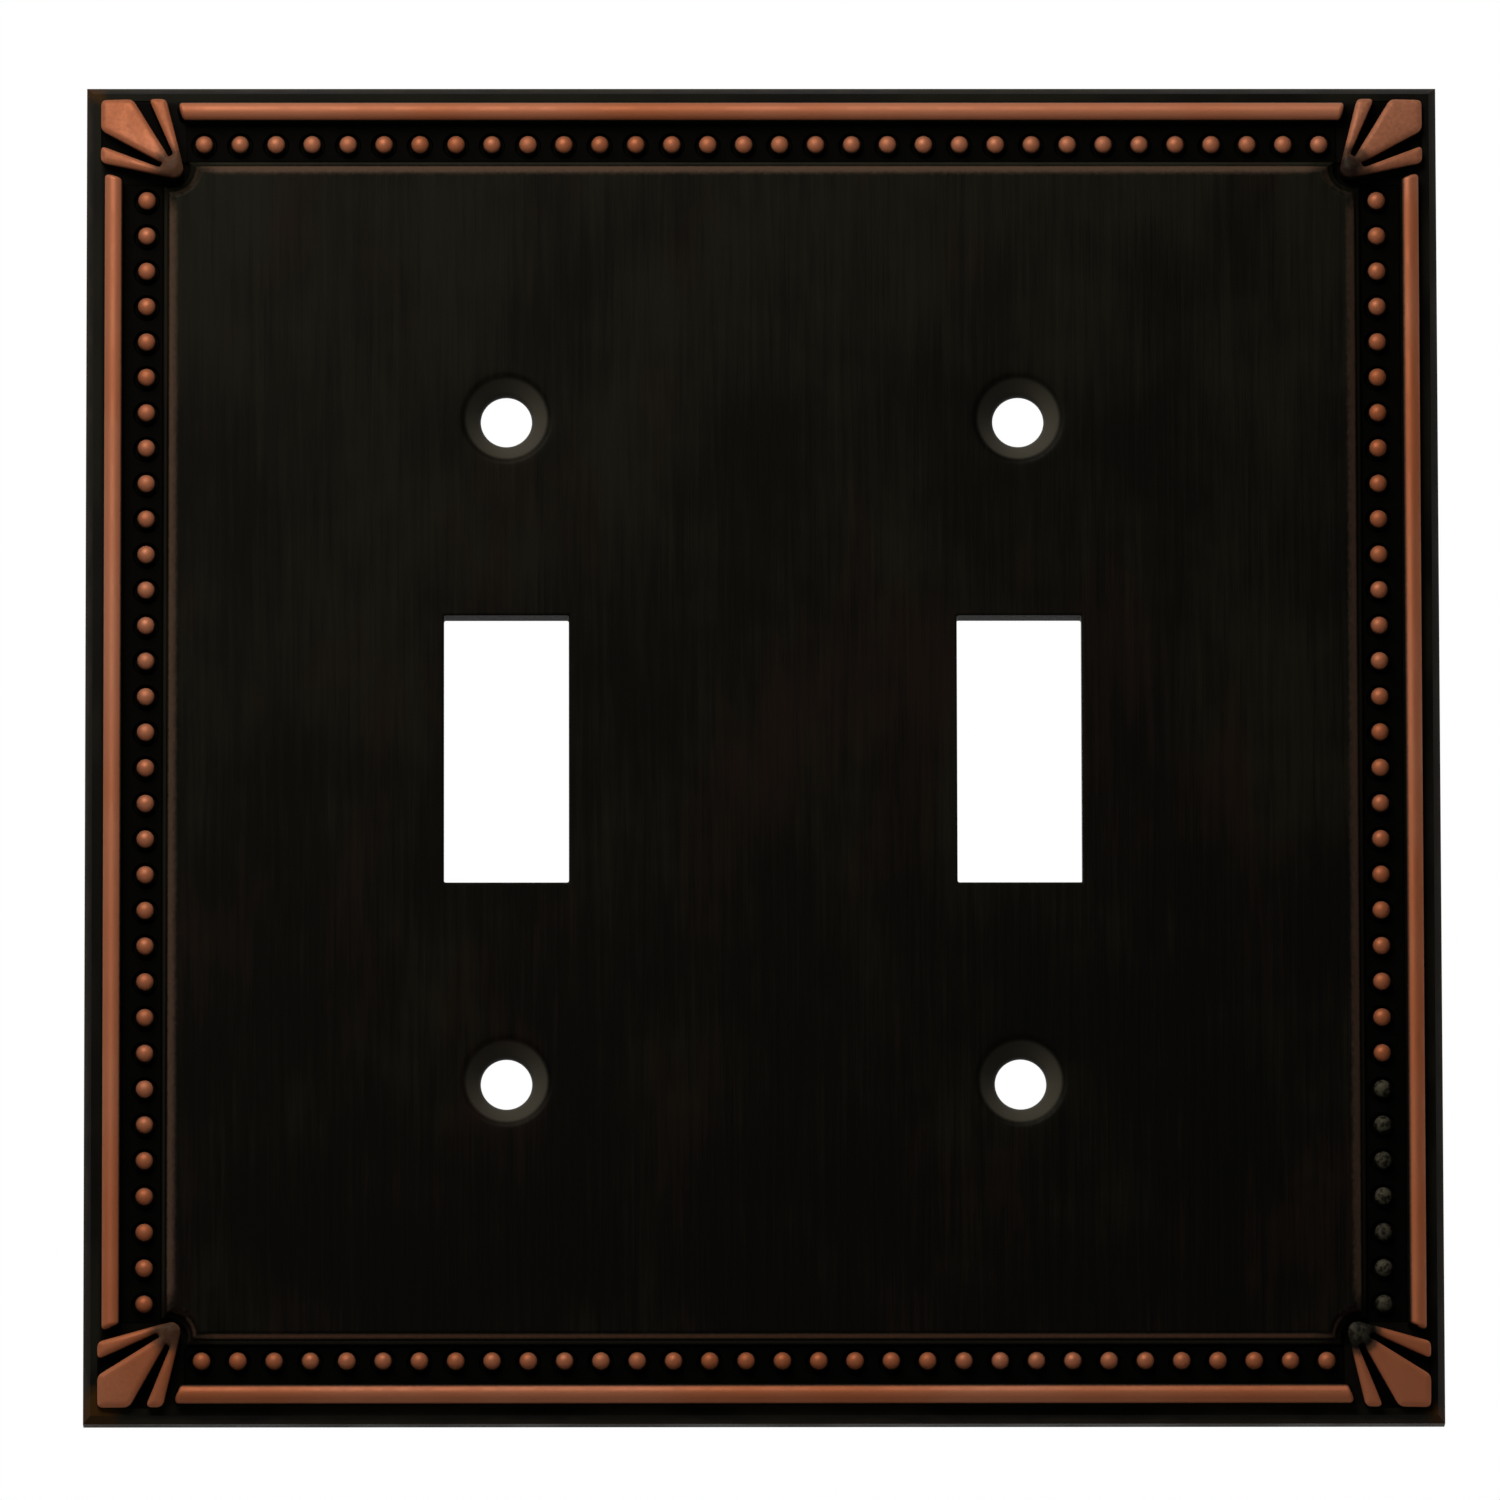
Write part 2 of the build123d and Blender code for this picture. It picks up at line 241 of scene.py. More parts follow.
class Solid:
    """A closed mesh drawn flat, ring by ring, or begun from a closed mesh.

    A point's rub says how it is worn: 0 has its dark finish, 1 is rubbed to the copper, -1 is dull grey.
    """

    def __init__(self, mesh=None):
        self.mesh = bmesh.new() if mesh is None else mesh
        self.rub = self.mesh.verts.layers.float.new("rub")

    def point(self, x, y, level, rub=0.0):
        vert = self.mesh.verts.new((x, y, level))
        vert[self.rub] = rub
        return vert

    def ring(self, loop, level, rub=0.0):
        return [self.point(p[0], p[1], level, rub) for p in loop]

    def wall(self, rings):
        """Joins each ring to the next, point by point."""
        for low, high in zip(rings, rings[1:]):
            for n in range(len(low)):
                after = (n + 1) % len(low)
                self.mesh.faces.new((low[n], low[after], high[after], high[n]))

    def face(self, outline, *holes):
        """Fills the flat face inside a ring, less any holes. The holes are convex."""
        verts, edges = [], []
        for ring in (outline, *holes):
            first, count = len(verts), len(ring)
            edges += [(first + n, first + (n + 1) % count) for n in range(count)]
            verts += ring
        found = delaunay_2d_cdt([vert.co.xy for vert in verts], edges, [], INSIDE_OUTLINE, 1e-5)
        for triangle in found[2]:
            corners = [verts[found[3][n][0]] for n in triangle]
            if not any(set(corners) <= set(hole) for hole in holes):
                self.mesh.faces.new(corners)

    def turned(self, centre, profile, count=48):
        """A closed round solid about an upright axis. A profile point is (radius, level, rub)."""
        rings = [self.ring(circle(centre, r, count), level, rub) for r, level, rub in profile]
        self.wall(rings)
        for ring, (_, level, rub) in ((rings[0], profile[0]), (rings[-1], profile[-1])):
            hub = self.point(*centre, level, rub)
            for n, vert in enumerate(ring):
                self.mesh.faces.new((hub, vert, ring[(n + 1) % len(ring)]))

    def stud(self, centre, radius, top):
        """A stud with a low domed head formed behind the web."""
        head, shoulder = radius + STUD_HEAD_OVERHANG, WEB_BACK - 0.12
        line = [(0.25 * head, HEAD_LEVEL), (0.8 * head, HEAD_LEVEL + 0.06), (head, shoulder)]
        line += [(head, WEB_BACK), (radius, WEB_BACK), (radius, top)]
        self.turned(centre, [(r, level, 0.0) for r, level in soften(line, 0.1, 3)], 32)

    def piece(self, name, turn, slot, materials, *nodes):
        """Turns the drawing to its edge or corner, stands it up and makes it the piece for these CAD nodes.

        Faces that look to the wall take the plain cast finish of the back.
        """
        bmesh.ops.recalc_face_normals(self.mesh, faces=self.mesh.faces)
        for side in self.mesh.faces:
            if side.normal.z < -0.7:
                side.material_index = len(materials)
        place = Matrix.Scale(MM, 4) @ Matrix.Rotation(math.radians(90), 4, "X")
        place @= Matrix.Rotation(math.radians(turn), 4, "Z")
        bmesh.ops.transform(self.mesh, matrix=place, verts=self.mesh.verts)
        mesh = bpy.data.meshes.new(name)
        self.mesh.to_mesh(mesh)
        self.mesh.free()
        mesh.shade_smooth()
        mesh.set_sharp_from_angle(angle=SMOOTH_BELOW)
        for material in (*materials, CAST_BACK):
            mesh.materials.append(material)
        made = bpy.data.objects.new(name, mesh)
        bpy.context.scene.collection.objects.link(made)
        normals = made.modifiers.new("flat faces stay flat", "WEIGHTED_NORMAL")
        normals.keep_sharp = True
        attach(made, "root")
        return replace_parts(made, *nodes)


def chain(solid, loop_at, line, rub_at=lambda way, level: 0.0):
    """Rings over an edge: loop_at(way) gives a loop for each (way, level) of the line."""
    return [solid.ring(loop_at(way), level, rub_at(way, level)) for way, level in line]


def ramp(value, low, high):
    """0 below low, 1 above high and a smooth rise between them."""
    t = min(1.0, max(0.0, (value - low) / (high - low)))
    return t * t * (3 - 2 * t)


# ---------------------------------------------------------------- materials


def set_node(tree, kind, **settings):
    """A shader node with its settings."""
    node = tree.nodes.new(kind)
    for name, value in settings.items():
        setattr(node, name, value)
    return node


class Shader:
    """Short names for building one material."""

    def __init__(self, name):
        self.material = bpy.data.materials.new(name)
        self.material.use_nodes = True
        self.tree = self.material.node_tree
        self.tree.nodes.clear()
        output = self.tree.nodes.new("ShaderNodeOutputMaterial")
        self.surface = self.tree.nodes.new("ShaderNodeBsdfPrincipled")
        self.tree.links.new(self.surface.outputs[0], output.inputs["Surface"])
        self.place = self.tree.nodes.new("ShaderNodeTexCoord").outputs["Object"]

    def put(self, socket, value):
        """Links an output to a socket, or sets the socket to a plain value."""
        if isinstance(value, bpy.types.NodeSocket):
            self.tree.links.new(value, socket)
        else:
            socket.default_value = value

    def maths(self, operation, *values):
        node = set_node(self.tree, "ShaderNodeMath", operation=operation)
        for socket, value in zip(node.inputs, values):
            self.put(socket, value)
        return node.outputs[0]

    def noise(self, feature, detail=2.0, roughness=0.5):
        """Noise whose features measure feature = (across, deep, tall) in metres, between 0 and 1."""
        stretch = set_node(self.tree, "ShaderNodeMapping")
        self.put(stretch.inputs["Vector"], self.place)
        stretch.inputs["Scale"].default_value = [1 / f for f in feature]
        node = set_node(self.tree, "ShaderNodeTexNoise")
        self.put(node.inputs["Vector"], stretch.outputs[0])
        node.inputs["Scale"].default_value = 1.0
        node.inputs["Detail"].default_value = detail
        node.inputs["Roughness"].default_value = roughness
        return node.outputs[0]

    def between(self, value, low, high, to_low=0.0, to_high=1.0):
        """value between low and high, as a smooth step between two other values."""
        node = set_node(self.tree, "ShaderNodeMapRange", interpolation_type="SMOOTHSTEP")
        for socket, item in zip(node.inputs, (value, low, high, to_low, to_high)):
            self.put(socket, item)
        return node.outputs[0]

    def blend(self, share, first, second):
        """A mix of two colours."""
        node = set_node(self.tree, "ShaderNodeMix", data_type="RGBA")
        self.put(node.inputs["Factor"], share)
        colours = [socket for socket in node.inputs if socket.type == "RGBA"]
        self.put(colours[0], first)
        self.put(colours[1], second)
        return next(socket for socket in node.outputs if socket.type == "RGBA")

    def along(self, axis):
        """A place's coordinate along one axis, in metres."""
        parts = set_node(self.tree, "ShaderNodeSeparateXYZ")
        self.put(parts.inputs[0], self.place)
        return parts.outputs[axis]

    def inset(self, nearest="MAXIMUM"):
        """How far in a place is from the nearest edge line of the plate, or from the farther one of
        the two that meet at its corner with MINIMUM, in millimetres."""
        across, up = (self.maths("ABSOLUTE", self.along(axis)) for axis in ("X", "Z"))
        return self.maths("MULTIPLY_ADD", self.maths(nearest, across, up), -1 / MM, HALF_SIDE)

    def rubbed(self):
        """How far the dark finish is rubbed off here, as the mesh says."""
        node = set_node(self.tree, "ShaderNodeAttribute", attribute_type="GEOMETRY", attribute_name="rub")
        return node.outputs["Fac"]

    def bump(self, height, distance):
        node = set_node(self.tree, "ShaderNodeBump")
        self.put(node.inputs["Height"], height)
        node.inputs["Distance"].default_value = distance
        self.put(self.surface.inputs["Normal"], node.outputs[0])

    def set(self, **values):
        """Sets sockets of the surface by their names, with underscores for spaces."""
        for name, value in values.items():
            self.put(self.surface.inputs[name.replace("_", " ")], value)


# black patina, which also serves as painted shade in the hollows
PATINA_AND_SHADE_BLACK = (0.0007, 0.0006, 0.0005, 1)
PATINA_DARK = (0.0008, 0.0008, 0.0006, 1)
PATINA_OLIVE = (0.0043, 0.0041, 0.0023, 1)
PATINA_RED = (0.0056, 0.0029, 0.0020, 1)
EDGE_BROWN = (0.0125, 0.0085, 0.0050, 1)
CORNER_OCHRE = (0.0240, 0.0090, 0.0008, 1)
CAST_DARK = (0.030, 0.026, 0.019, 1)
CAST_LIGHT = (0.056, 0.049, 0.037, 1)
# a painted grey sheen, for the panel's screw seats and the foot of its bevel
PAINTED_SHEEN_GREY = (0.0370, 0.0325, 0.0235, 1)
TARNISH_GREY = (0.0360, 0.0315, 0.0200, 1)
PANEL_BROWN = (0.0530, 0.0310, 0.0195, 1)
COPPER_BROWN = (0.0520, 0.0215, 0.0110, 1)
COPPER_BRIGHT = (0.30, 0.108, 0.055, 1)
COPPER_DEEP = (0.25, 0.072, 0.028, 1)
DULL_SHEEN = (1.0, 0.88, 0.68, 1)


def copper_over(shader, rubbed, patina, brown, unevenness):
    """Patina that wears through brown to copper as it is rubbed, with uneven edges."""
    fine = shader.noise((0.35 * MM,) * 3, 3.0)
    uneven = shader.maths("MULTIPLY_ADD", fine, unevenness, -unevenness / 2)
    worn = shader.maths("ADD", rubbed, uneven)
    bare = shader.between(worn, 0.40, 0.80)
    thin = shader.blend(shader.between(worn, 0.05, 0.40), patina, brown)
    cloud = shader.between(shader.noise((22 * MM,) * 3, 3.0), 0.3, 0.7)
    copper = shader.blend(cloud, COPPER_DEEP, COPPER_BRIGHT)
    return bare, shader.blend(bare, thin, copper)


def cast_colour(shader):
    """The uneven grey-brown of the cast back, which was never brushed or rubbed."""
    cloud = shader.between(shader.noise((7 * MM,) * 3, 5.0, 0.6), 0.35, 0.65)
    return cloud, shader.blend(cloud, CAST_DARK, CAST_LIGHT)


def cast_back():
    """The finish of every face that looks to the wall: dull, with a sandy grain."""
    shader = Shader("cast_back_finish")
    cloud, colour = cast_colour(shader)
    shader.set(
        Base_Color=colour,
        Roughness=shader.between(cloud, 0.0, 1.0, 0.58, 0.70),
        Specular_IOR_Level=0.2,
        Specular_Tint=DULL_SHEEN,
    )
    shader.bump(shader.noise((0.25 * MM,) * 3, 4.0), 0.03 * MM)
    return shader.material


def dark_bronze():
    """The pan's finish: worn brown along the plate's edge and ochre at its corners, least at the upper right
    one, dull on the rim, black inside the border as patina and painted shade, and plain cast metal at the
    back."""
    shader = Shader("dark_bronze_finish")
    inset = shader.inset()
    cloud = shader.between(shader.noise((9 * MM,) * 3, 4.0), 0.35, 0.65)
    rim = shader.blend(cloud, PATINA_DARK, PATINA_OLIVE)
    fray = shader.maths("MULTIPLY_ADD", shader.noise((3 * MM,) * 3, 4.0), 0.9, inset)
    worn = shader.blend(shader.between(fray, 0.5, 1.05), EDGE_BROWN, rim)
    ragged = shader.maths("MULTIPLY_ADD", shader.noise((1.5 * MM,) * 3, 4.0), 2.0, shader.inset("MINIMUM"))
    upper_right = shader.maths("ADD", shader.along("X"), shader.along("Z"))
    ragged = shader.maths("MULTIPLY_ADD", upper_right, 14.0, ragged)
    worn = shader.blend(shader.between(ragged, 1.6, 3.0), CORNER_OCHRE, worn)
    # painted shade: black inside the border, down in the hollows under the other pieces
    inside = shader.between(inset, 1.2, 1.8)
    behind = shader.between(shader.along("Y"), -1.44 * MM, -1.40 * MM)
    behind = shader.maths("MULTIPLY", behind, shader.between(inset, 0.10, 0.16))
    front = shader.blend(inside, worn, PATINA_AND_SHADE_BLACK)
    dull = shader.between(cloud, 0.0, 1.0, 0.42, 0.54)
    shader.set(
        Base_Color=shader.blend(behind, front, cast_colour(shader)[1]),
        Roughness=shader.maths("MULTIPLY_ADD", inside, 0.3, dull),
        Specular_IOR_Level=0.05,
        Specular_Tint=DULL_SHEEN,
    )
    shader.bump(shader.noise((0.12 * MM,) * 3, 3.0), 0.012 * MM)
    return shader.material


def black_patina_and_shade():
    """The finish down in the border, where no rubbing reaches: black, as patina and as painted shade for the
    hollows, with a cast grain.
    """
    shader = Shader("black_patina_and_shade_finish")
    cloud = shader.between(shader.noise((2.5 * MM,) * 3, 4.0), 0.4, 0.7)
    shader.set(
        Base_Color=shader.blend(cloud, PATINA_AND_SHADE_BLACK, PATINA_DARK),
        Roughness=shader.between(cloud, 0.0, 1.0, 0.44, 0.56),
        Specular_IOR_Level=0.012,
        Specular_Tint=DULL_SHEEN,
    )
    shader.bump(shader.noise((0.12 * MM,) * 3, 3.0), 0.014 * MM)
    return shader.material


def rubbed_copper():
    """Copper rubbed bright on the high places, with patina left in the low ones."""
    shader = Shader("rubbed_copper_finish")
    smudge = shader.between(shader.noise((2.2 * MM,) * 3, 4.0), 0.35, 0.65)
    rubbed = shader.rubbed()
    patina = shader.blend(smudge, PATINA_AND_SHADE_BLACK, PATINA_DARK)
    speck = shader.between(shader.noise((0.45 * MM,) * 3, 2.0), 0.38, 0.55)
    tarnish = shader.blend(speck, PATINA_OLIVE, TARNISH_GREY)
    patina = shader.blend(shader.between(rubbed, 0.0, -1.0), patina, tarnish)
    bare, colour = copper_over(shader, rubbed, patina, COPPER_BROWN, 0.22)
    shader.set(
        Base_Color=colour,
        Metallic=shader.maths("MULTIPLY", bare, 0.45),
        Roughness=shader.between(smudge, 0.0, 1.0, 0.50, 0.60),
        Specular_IOR_Level=0.09,
        Specular_Tint=DULL_SHEEN,
    )
    shader.bump(shader.noise((0.15 * MM,) * 3, 3.0), 0.010 * MM)
    return shader.material


def brushed_bronze():
    """The panel's finish: brushed up and down, olive to reddish, with painted light that makes it lighter
    towards the top, and a painted grey sheen in the screw seats and low on the bevel.
    """
    shader = Shader("brushed_bronze_finish")
    fine = shader.noise((0.10 * MM, MM, 14 * MM), 3.0, 0.6)
    streak = shader.noise((0.8 * MM, 6 * MM, 20 * MM), 5.0, 0.65)
    scratch = shader.noise((0.3 * MM, MM, 9 * MM), 3.0, 0.6)
    broad = shader.noise((14 * MM, 14 * MM, 20 * MM), 4.0, 0.6)
    # painted light: the tone grows lighter towards the top of the panel, as if lit from above
    grain_and_top_light = shader.maths("MULTIPLY_ADD", shader.along("Z"), 1.3, broad)
    grain_and_top_light = shader.maths("MULTIPLY_ADD", scratch, 0.4, grain_and_top_light)
    tone = shader.between(shader.maths("MULTIPLY_ADD", streak, 0.38, grain_and_top_light), 0.74, 1.16)
    patches = shader.noise((10 * MM, 10 * MM, 24 * MM), 4.0)
    # the patches are redder towards the bottom
    reddish = shader.between(shader.maths("MULTIPLY_ADD", shader.along("Z"), -1.8, patches), 0.46, 0.62)
    patina = shader.blend(tone, PATINA_DARK, shader.blend(reddish, PATINA_OLIVE, PATINA_RED))
    rubbed = shader.rubbed()
    # painted sheen: where the rub is below zero the panel takes a lighter grey, in the screw seats and low on
    # the bevel
    patina = shader.blend(shader.between(rubbed, 0.0, -1.0), patina, PAINTED_SHEEN_GREY)
    bare, colour = copper_over(shader, rubbed, patina, PANEL_BROWN, 0.16)
    shader.set(
        Base_Color=colour,
        Metallic=shader.maths("MULTIPLY", bare, 0.45),
        Roughness=shader.between(fine, 0.3, 0.7, 0.40, 0.50),
        Specular_IOR_Level=0.036,
        Specular_Tint=DULL_SHEEN,
    )
    shader.bump(shader.maths("ADD", fine, streak), 0.012 * MM)
    return shader.material


CAST_BACK = cast_back()
DARK_BRONZE = dark_bronze()
BLACK_PATINA_AND_SHADE = black_patina_and_shade()
RUBBED_COPPER = rubbed_copper()
BRUSHED_BRONZE = brushed_bronze()


# ---------------------------------------------------------------- pieces


def face_panel():
    """The raised panel with bevelled edges, countersunk screw holes and toggle openings."""
    solid = Solid()
    fronts, backs = [], []

    def add(loop_at, line, rub_at=lambda way, level: 0.0):
        rings = chain(solid, loop_at, line, rub_at)
        solid.wall(rings)
        fronts.append(rings[0])
        backs.append(rings[-1])
        return rings

    edge = [(PANEL_BEVEL * share, PANEL_FACE) for share in (1.5, 1.3, 1.15)]
    for share in (1, 0.85, 0.7, 0.55, 0.4, 0.2, 0):
        edge.append((PANEL_BEVEL * share, PANEL_FACE - PANEL_BEVEL * (1 - share) ** BEVEL_ROUND))
    edge = soften([*edge, (0, SEAT_LEVEL)], 0.08, 3)

    def edge_rub(inset, level):
        """A painted grey sheen low on the bevel, rubbed from its middle to just inside it."""
        share = inset / PANEL_BEVEL
        bevel_sheen = PANEL_EDGE_SHEEN * ramp(share, 0.0, 0.1) * ramp(-share, -0.4, -0.25)
        return PANEL_EDGE_RUB * ramp(share, 0.33, 0.6) * ramp(-share, -1.6, -0.6) - bevel_sheen

    for ring in add(notched_square, edge, edge_rub):
        for vert in ring:
            x, y = vert.co.xy
            in_notch = ramp(min(abs(x), abs(y)) + NOTCH_STRAIGHT - NOTCH_CENTRE, 0.1, 1.1)
            faced = {"bottom": -y, "right": x, "top": y, "left": -x}
            side = max(faced, key=faced.get)
            vert[solid.rub] *= PANEL_EDGE_WEAR[side] * (1 - 0.55 * in_notch)
            if side == "bottom" and vert[solid.rub] > 0:
                vert[solid.rub] *= ramp(PANEL_FACE - vert.co.z, 0.03, 0.3)
    for x in (-GANG_SPACING / 2, GANG_SPACING / 2):
        mouth = [(0.35, PANEL_FACE), (0.12, PANEL_FACE), (0, PANEL_FACE - 0.12), (0, WEB_BACK)]
        mouth += [(COLLAR_WIDTH, WEB_BACK), (COLLAR_WIDTH, SEAT_LEVEL)]

        def opening(way, x=x):
            return rectangle((x, 0), TOGGLE_WIDTH + 2 * way, TOGGLE_HEIGHT + 2 * way, 0.2)

        add(opening, soften(mouth, 0.08))
        for y in (-SCREW_SPACING / 2, SCREW_SPACING / 2):
            depth = COUNTERSINK_RADIUS - SCREW_HOLE_RADIUS
            sink = [(COUNTERSINK_RADIUS + 0.9, PANEL_FACE), (COUNTERSINK_RADIUS, PANEL_FACE)]
            sink += [(SCREW_HOLE_RADIUS, PANEL_FACE - depth), (SCREW_HOLE_RADIUS, WEB_BACK)]
            sink += [(BOSS_RADIUS, WEB_BACK), (BOSS_RADIUS, SEAT_LEVEL)]

            def seat_sheen(radius, level):
                """A painted grey sheen down the cone of the screw seat."""
                below = PANEL_FACE - level
                if radius > COUNTERSINK_RADIUS:
                    return 0.0
                return -ramp(below, 0.0, 0.5) * ramp(-below, -1.3 * depth, -depth)

            for ring in add(lambda way, centre=(x, y): circle(centre, way), soften(sink, 0.5, 6), seat_sheen):
                # painted highlight: the sheen is strongest at the lower right of each seat, where the cone
                # faces the light
                for vert in ring:  # greyest at the seat's lower right
                    off = vert.co.xy - Vector((x, y))
                    vert[solid.rub] *= 0.76 + 0.24 * (off.x - off.y) / (math.sqrt(2) * off.length)
    solid.face(*fronts)
    solid.face(*backs)
    reach = HALF_SIDE - PANEL_STUD_INSET
    for station in PANEL_STUD_STATIONS:
        for centre in ((station, -reach), (station, reach), (-reach, station), (reach, station)):
            solid.stud(centre, PANEL_STUD_RADIUS, SEAT_LEVEL)
    solid.piece("brushed_panel", 0, "brushed_bronze", [BRUSHED_BRONZE], "face_panel")


def border_rod(edge):
    """A half-round rod whose ends are cut to follow the leaves and rounded off. Its rub reaches further down
    on one side than on the other, and the patina left low on its sides is also painted shade."""
    solid = Solid()
    outer_reach, inner_reach = ROD_WEAR_AND_SHADE[edge]
    middle = (ROD_LOW.y + ROD_HIGH.y) / 2
    shoulder = ROD_CROWN - ROD_RADIUS
    section = [(-ROD_RADIUS, GROOVE_FLOOR), (-ROD_RADIUS, (GROOVE_FLOOR + shoulder) / 2)]
    for n in range(ROD_STEPS + 1):
        angle = math.pi * (1 - n / ROD_STEPS)
        section.append((ROD_RADIUS * math.cos(angle), shoulder + ROD_RADIUS * math.sin(angle)))
    section += [(ROD_RADIUS, (GROOVE_FLOOR + shoulder) / 2), (ROD_RADIUS, GROOVE_FLOOR)]
    length = ROD_HIGH.x - ROD_LOW.x
    rounding = [ROD_END * (1 - math.cos(math.radians(a))) for a in range(6, 91, 7)]
    straight = [ROD_END + (length - 2 * ROD_END) * n / ROD_STEPS for n in range(1, ROD_STEPS)]
    stations = rounding + straight + [length - s for s in reversed(rounding)]
    rings = []
    for station in stations:
        near = min(1.0, min(station, length - station) / ROD_END)
        across = (1 - (1 - near) ** ROD_END_POWER) ** (1 / ROD_END_POWER)
        up = across**0.6
        ring = []
        for y, level in section:
            skew = ROD_SKEW * (y / ROD_RADIUS + 1) / 2
            share = station / length
            x = ROD_LOW.x + skew * (1 - 2 * share) + station
            level = GROOVE_FLOOR + (level - GROOVE_FLOOR) * up
            # painted shade: patina reaches up each side of the rod, darker where shade falls as well as where
            # it is unworn
            bare_from = ROD_CROWN - (inner_reach if y > 0 else outer_reach)
            rub = ramp(level, bare_from, bare_from + 0.45) * ramp(up, 0.7, 0.95)
            ring.append(solid.point(x, middle + y * across, level, rub))
        rings.append(ring)
    solid.wall(rings)
    solid.mesh.faces.new(rings[0])
    solid.mesh.faces.new(list(reversed(rings[-1])))
    for station in ROD_STUD_STATIONS:
        solid.stud((station, middle), ROD_STUD_RADIUS, GROOVE_FLOOR)
    solid.piece(f"rod_{edge}", EDGE_TURNS[edge], "rubbed_copper", [RUBBED_COPPER], f"border_rod_{edge}")


def bead_places():
    """The bead centres along the bottom edge."""
    first = BEADS_LOW.x + BEAD_RADIUS
    pitch = (BEADS_HIGH.x - BEADS_LOW.x - 2 * BEAD_RADIUS) / (BEAD_COUNT - 1)
    y = (BEADS_LOW.y + BEADS_HIGH.y) / 2
    return [(first + n * pitch, y) for n in range(BEAD_COUNT)]


def bead_row(edge):
    """The beads of one edge: round heads on short collars, darkening towards their rims as painted shade. The
    lowest ones of the right edge are dull.
    """
    solid = Solid()
    centre_level = BEAD_TOP - BEAD_RADIUS
    line = [(BEAD_SHANK_RADIUS, GROOVE_FLOOR), (BEAD_SHANK_RADIUS, SEAT_LEVEL), (BEAD_RADIUS, SEAT_LEVEL)]
    for n in range(13):
        angle = math.radians(84 * n / 12)
        line.append((BEAD_RADIUS * math.cos(angle), centre_level + BEAD_RADIUS * math.sin(angle)))
    chance = random.Random(edge)
    for n, place in enumerate(bead_places()):
        worn = chance.uniform(0.75, 1.0)
        if edge == "right" and n < DULL_BEADS:
            worn = chance.uniform(-0.9, -0.6)
        # painted shade: each head darkens from its crown down to its rim
        profile = [(r, level, worn * ramp(level, *BEAD_RIM_SHADE_LEVELS)) for r, level in line]
        solid.turned(place, profile, 36)
    solid.piece(f"beads_{edge}", EDGE_TURNS[edge], "rubbed_copper", [RUBBED_COPPER], f"bead_row_{edge}")


def gallery_strip(edge):
    """A black strip with a soft-edged round socket for each bead; its black is patina and painted shade."""
    solid = Solid()
    width, middle = STRIP_HIGH.y - STRIP_LOW.y, (STRIP_LOW.y + STRIP_HIGH.y) / 2
    length = STRIP_HIGH.x - STRIP_LOW.x

    def outline(inset):
        return rectangle((0, middle), length - 2 * inset, width - 2 * inset, 0.1)

    rim = [(0.2, BORDER_FACE), (0.06, BORDER_FACE), (0, BORDER_FACE - 0.06), (0, GROOVE_FLOOR)]
    rings = chain(solid, outline, soften(rim, 0.05, 2))
    solid.wall(rings)
    fronts, back = [rings[0]], rings[-1]
    socket = [(SOCKET_RADIUS + 0.12, BORDER_FACE), (SOCKET_RADIUS, BORDER_FACE)]
    socket += [(SOCKET_RADIUS, SEAT_LEVEL), (BEAD_SHANK_RADIUS, SEAT_LEVEL)]
    for place in bead_places():
        rings = chain(solid, lambda way, centre=place: circle(centre, way, 36), soften(socket, 0.12, 3))
        solid.wall(rings)
        fronts.append(rings[0])
        hub = solid.point(*place, SEAT_LEVEL)
        for n, vert in enumerate(rings[-1]):
            solid.mesh.faces.new((hub, vert, rings[-1][(n + 1) % len(rings[-1])]))
    solid.face(*fronts)
    solid.face(back)
    for station in STRIP_STUD_STATIONS:
        solid.stud((station, STRIP_STUD_INSET - HALF_SIDE), STRIP_STUD_RADIUS, GROOVE_FLOOR)
    solid.piece(f"strip_{edge}", EDGE_TURNS[edge], "dark_bronze", [BLACK_PATINA_AND_SHADE], f"gallery_strip_{edge}")


